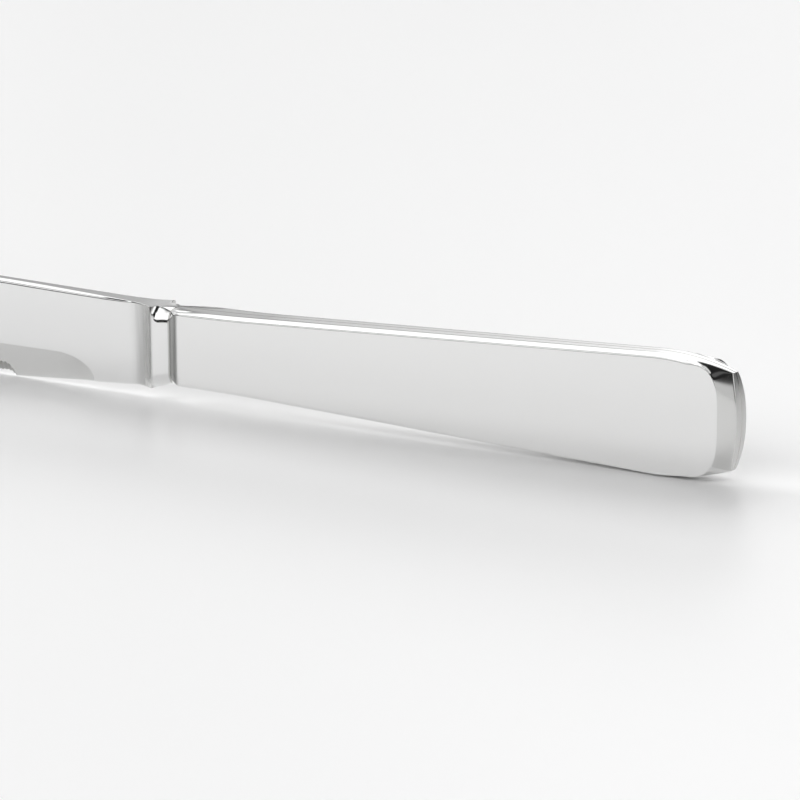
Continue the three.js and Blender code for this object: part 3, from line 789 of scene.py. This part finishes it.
def forged_tang():
    return steel("forged_steel", tones=((0.42, 0.41, 0.4), (0.55, 0.54, 0.52)), rough=(0.38, 0.55),
                 lines=(0.6, 1, 1), line_scale=1800, line_bump=0.35, wave_bump=0.1)


def cement():
    n = Nodes("handle_cement")
    s = n.shader
    coarse = n.stretched_noise(EVEN, 700, 5.0, 0.6)
    fine = n.stretched_noise(EVEN, 2600, 4.0, 0.7)
    n.link(n.blend(coarse, (0.36, 0.32, 0.26), (0.5, 0.46, 0.38)), s.inputs["Base Color"])
    n.link(n.ranged(fine, 0.8, 0.96), s.inputs["Roughness"])
    lumps = n.bump(coarse, 0.4, 0.0003)
    n.link(n.bump(fine, 0.5, 0.0001, lumps), s.inputs["Normal"])
    return n.material


# The photograph is taken from this azimuth, to the right of square on, and this elevation, in radians
VIEW_AZIMUTH, VIEW_ELEVATION = math.radians(32.5), math.radians(13)
# Half the side of the floor in metres, and what its far left gains
FLOOR_REACH, FLOOR_LIFT = 6.0, 0.09


def pale_floor():
    """A pale floor; the camera and the metal see its far left as pale as the rest."""
    n = Nodes("pale_floor")
    s = n.shader
    cloud = n.stretched_noise(EVEN, 3, 2.0, 0.5)
    n.link(n.blend(cloud, (0.94, 0.94, 0.94), (0.945, 0.945, 0.945)), s.inputs["Base Color"])
    n.link(n.ranged(cloud, 0.36, 0.38, 0, 1), s.inputs["Roughness"])
    s.inputs["IOR"].default_value = 1.5

    def along(x, y, low, high, start, end):
        dot = n.add("ShaderNodeVectorMath")
        dot.operation = "DOT_PRODUCT"
        n.link(n.place.outputs["Object"], dot.inputs[0])
        dot.inputs[1].default_value = (x, y, 0)
        return n.ranged(dot.outputs["Value"], low, high, start, end)

    across, ahead = math.cos(VIEW_AZIMUTH), math.sin(VIEW_AZIMUTH)
    to_left = along(-across, -ahead, 0, FLOOR_LIFT, -0.11, 0.12)
    away = along(-ahead, across, 0, 1, -0.2, 0.15)
    path = n.add("ShaderNodeLightPath")
    seen = n.maths("MAXIMUM", path.outputs["Is Camera Ray"],
                   n.maths("MAXIMUM", path.outputs["Is Glossy Ray"], path.outputs["Is Transmission Ray"]))
    s.inputs["Emission Color"].default_value = (1, 1, 1, 1)
    n.link(n.maths("MULTIPLY", n.maths("MULTIPLY", to_left, away), seen), s.inputs["Emission Strength"])
    return n.material


# Pieces
handle_steels, blade_steel = [polished_handle(), brushed_end(), satin_corner()], polished_blade()
solder_metal = solder()

left = handle_shell("handle_left", -1, handle_steels)
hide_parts("handle_shell_left")
right = handle_shell("handle_right", 1, handle_steels)
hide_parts("handle_shell_right")
seam = seam_strip(solder_metal)
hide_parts("seam_solder")
ring = mouth_ring(solder_metal)
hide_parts("mouth_solder")
forging = blade([blade_steel, ground_steel(), tooth_steel()])
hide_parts("blade")
tang(forged_tang())
cement_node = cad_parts["tang_cement"]
cement_node.data.materials.clear()
cement_node.data.materials.append(cement())

# Floor
corners = [(x * FLOOR_REACH, y * FLOOR_REACH, 0) for x, y in ((-1, -1), (1, -1), (1, 1), (-1, 1))]
floor_mesh = bpy.data.meshes.new("floor")
floor_mesh.from_pydata(corners, [], [(0, 1, 2, 3)])
floor_mesh.materials.append(pale_floor())
floor = bpy.data.objects.new("floor", floor_mesh)
bpy.context.scene.collection.objects.link(floor)


# Studio light. Azimuths are in degrees, 0 behind the knife, 90 beyond its tip, 180 in front and negative beyond the
# butt, and heights are sines of the elevation.
AMBIENT, BRIGHTEST_MIRRORED, BACKDROP_SEEN = 0.02, 1.5, 0.93
LOW_BACK_LEVEL, BEYOND_BUTT_LEVEL = 3.6, 1.4
PANEL_EDGE = 0.03


class Sky:
    """The world's nodes, which give a level of light for each azimuth and height."""

    def __init__(self, tree):
        self.tree = tree
        place = self.add("ShaderNodeTexCoord")
        split = self.add("ShaderNodeSeparateXYZ")
        self.link(place.outputs["Generated"], split.inputs[0])
        x, y, self.height = split.outputs
        self.turn = self.maths("ARCTAN2", self.times(x, -1.0), y)

    def add(self, kind):
        return self.tree.nodes.new(kind)

    def link(self, a, b):
        self.tree.links.new(a, b)

    def maths(self, kind, a, b):
        node = self.add("ShaderNodeMath")
        node.operation = kind
        for i, v in enumerate((a, b)):
            if isinstance(v, (int, float)):
                node.inputs[i].default_value = v
            else:
                self.link(v, node.inputs[i])
        return node.outputs[0]

    def times(self, a, b):
        return self.maths("MULTIPLY", a, b)

    def ranged(self, value, low, high, a, b, smooth_ends=False):
        node = self.add("ShaderNodeMapRange")
        if smooth_ends:
            node.interpolation_type = "SMOOTHSTEP"
        for key, v in (("From Min", low), ("From Max", high), ("To Min", a), ("To Max", b)):
            node.inputs[key].default_value = v
        self.link(value, node.inputs["Value"])
        return node.outputs["Result"]

    def rise(self, low, high):
        """0 below low, 1 above high."""
        return self.ranged(self.height, low, high, 0.0, 1.0, True)

    def window(self, value, low, high, soft_low, soft_high):
        up = self.ranged(value, low - soft_low, low + soft_low, 0.0, 1.0, True)
        down = self.ranged(value, high - soft_high, high + soft_high, 1.0, 0.0, True)
        return self.times(up, down)

    def sector(self, start, end, soft_start, soft_end):
        """Between two azimuths, with soft edges."""
        return self.window(self.turn, *(math.radians(v) for v in (start, end, soft_start, soft_end)))

    def band(self, low, high):
        """Between two heights, with soft edges."""
        return self.window(self.height, low, high, PANEL_EDGE, PANEL_EDGE)

    def below(self, limit, soft):
        """1 up to the limit, which may be a linked value, and 0 from soft above it."""
        drop = self.maths("DIVIDE", self.maths("SUBTRACT", self.maths("ADD", limit, soft), self.height), soft)
        return self.maths("MINIMUM", self.maths("MAXIMUM", drop, 0.0), 1.0)

    def ladder(self, *stops):
        """A value that follows the stops round the room, given as (azimuth, level)."""
        out = stops[0][1]
        for (a, low), (b, high) in zip(stops, stops[1:]):
            part = self.ranged(self.turn, math.radians(a), math.radians(b), 0.0, high - low)
            out = self.maths("ADD", part, out)
        return out


def panels(sky):
    """The light panels that every surface sees, as (share, level)."""
    foot = sky.ladder((35, 0.455), (40, 0.4))
    ceiling = sky.ladder((15, 0.75), (24, 0.78), (42, 0.83))
    softbox = sky.times(sky.maths("SUBTRACT", 1.0, sky.below(foot, 0.045)), sky.below(ceiling, 0.04))
    front = sky.maths("MAXIMUM", sky.ranged(sky.turn, math.radians(129), math.radians(136), 0.0, 1.0, True),
                      sky.ranged(sky.turn, math.radians(-160), math.radians(-150), 1.0, 0.0, True))
    high, low = sky.rise(0.78, 0.88), sky.ranged(sky.height, 0.29, 0.38, 1.0, 0.0, True)
    return (
        (sky.times(sky.sector(15, 93, 1.5, 5), softbox), 4.1),
        (sky.times(front, sky.band(0.27, 0.77)), 3.9),
        (sky.times(sky.sector(-155, -110, 6, 12), low), 0.75),
        (sky.times(sky.sector(14, 60, 3, 6), sky.band(0.28, 0.5)), 0.3),
        (sky.times(sky.sector(-22, 14, 3, 3), sky.band(0.58, 0.85)), 0.9),
        (sky.times(sky.sector(64, 86, 4, 4), sky.band(0.06, 0.42)), 0.8),
        (sky.times(sky.sector(-110, -45, 10, 15), high), 0.1))


def back_wall(sky):
    """The pale wall behind the knife, which the bevels mirror, darker towards the tip and low down."""
    wall = sky.ladder((-22, 0.04), (0, 0.9), (12, 1.34), (27.6, 1.34), (28.4, 1.25), (29.4, 1.13), (31.5, 1.0),
                      (33.5, 0.92), (34.9, 0.89), (36, 0.61), (38, 0.5), (50, 0.48), (62, 0.36), (76, 0.1),
                      (90, 0.02), (180, 0.02))
    top = sky.ladder((15, 0.46), (22, 0.41), (28, 0.385), (31, 0.34), (34, 0.29), (38, 0.26), (46, 0.46))
    foot = sky.ranged(sky.height, 0.12, 0.165, 0.3, 1.0, True)
    return sky.times(sky.times(wall, foot), sky.below(top, 0.04))


def studio():
    world = bpy.data.worlds.new("studio")
    bpy.context.scene.world = world
    world.use_nodes = True
    world.node_tree.nodes.clear()
    sky = Sky(world.node_tree)
    total = sky.maths("ADD", back_wall(sky), AMBIENT)
    for share, level in panels(sky):
        total = sky.maths("ADD", total, sky.times(share, level))

    # Metal also mirrors a panel beyond the butt; matt surfaces are also lit from low at the back
    path = sky.add("ShaderNodeLightPath")
    glossy = path.outputs["Is Glossy Ray"]
    beyond_butt = sky.times(sky.sector(-94, -66, 3, 3), sky.band(0.03, 0.6))
    low_back = sky.times(sky.sector(-60, 80, 8, 8), sky.band(0.14, 0.36))
    mirrored = sky.maths("MINIMUM", sky.maths("ADD", total, sky.times(beyond_butt, BEYOND_BUTT_LEVEL)),
                         BRIGHTEST_MIRRORED)
    lit = sky.maths("ADD", total, sky.times(low_back, LOW_BACK_LEVEL))
    level = sky.maths("ADD", sky.times(mirrored, glossy), sky.times(lit, sky.maths("SUBTRACT", 1.0, glossy)))

    room, plain = sky.add("ShaderNodeBackground"), sky.add("ShaderNodeBackground")
    sky.link(level, room.inputs["Strength"])
    plain.inputs["Strength"].default_value = BACKDROP_SEEN
    shown, out = sky.add("ShaderNodeMixShader"), sky.add("ShaderNodeOutputWorld")
    sky.link(path.outputs["Is Camera Ray"], shown.inputs[0])
    sky.link(room.outputs[0], shown.inputs[1])
    sky.link(plain.outputs[0], shown.inputs[2])
    sky.link(shown.outputs[0], out.inputs[0])


studio()

# Camera of the photograph
camera_data = bpy.data.cameras.new("camera")
camera_data.sensor_width = 36
camera_data.lens = 148.5
camera_data.clip_start = 0.01
camera_data.clip_end = 50
camera = bpy.data.objects.new("camera", camera_data)
camera.location = (0.31699, -0.42468, 0.12159)
camera.rotation_euler = (math.pi / 2 - VIEW_ELEVATION, 0, VIEW_AZIMUTH)
bpy.context.scene.collection.objects.link(camera)
bpy.context.scene.camera = camera
bpy.context.scene.view_settings.view_transform = "Standard"
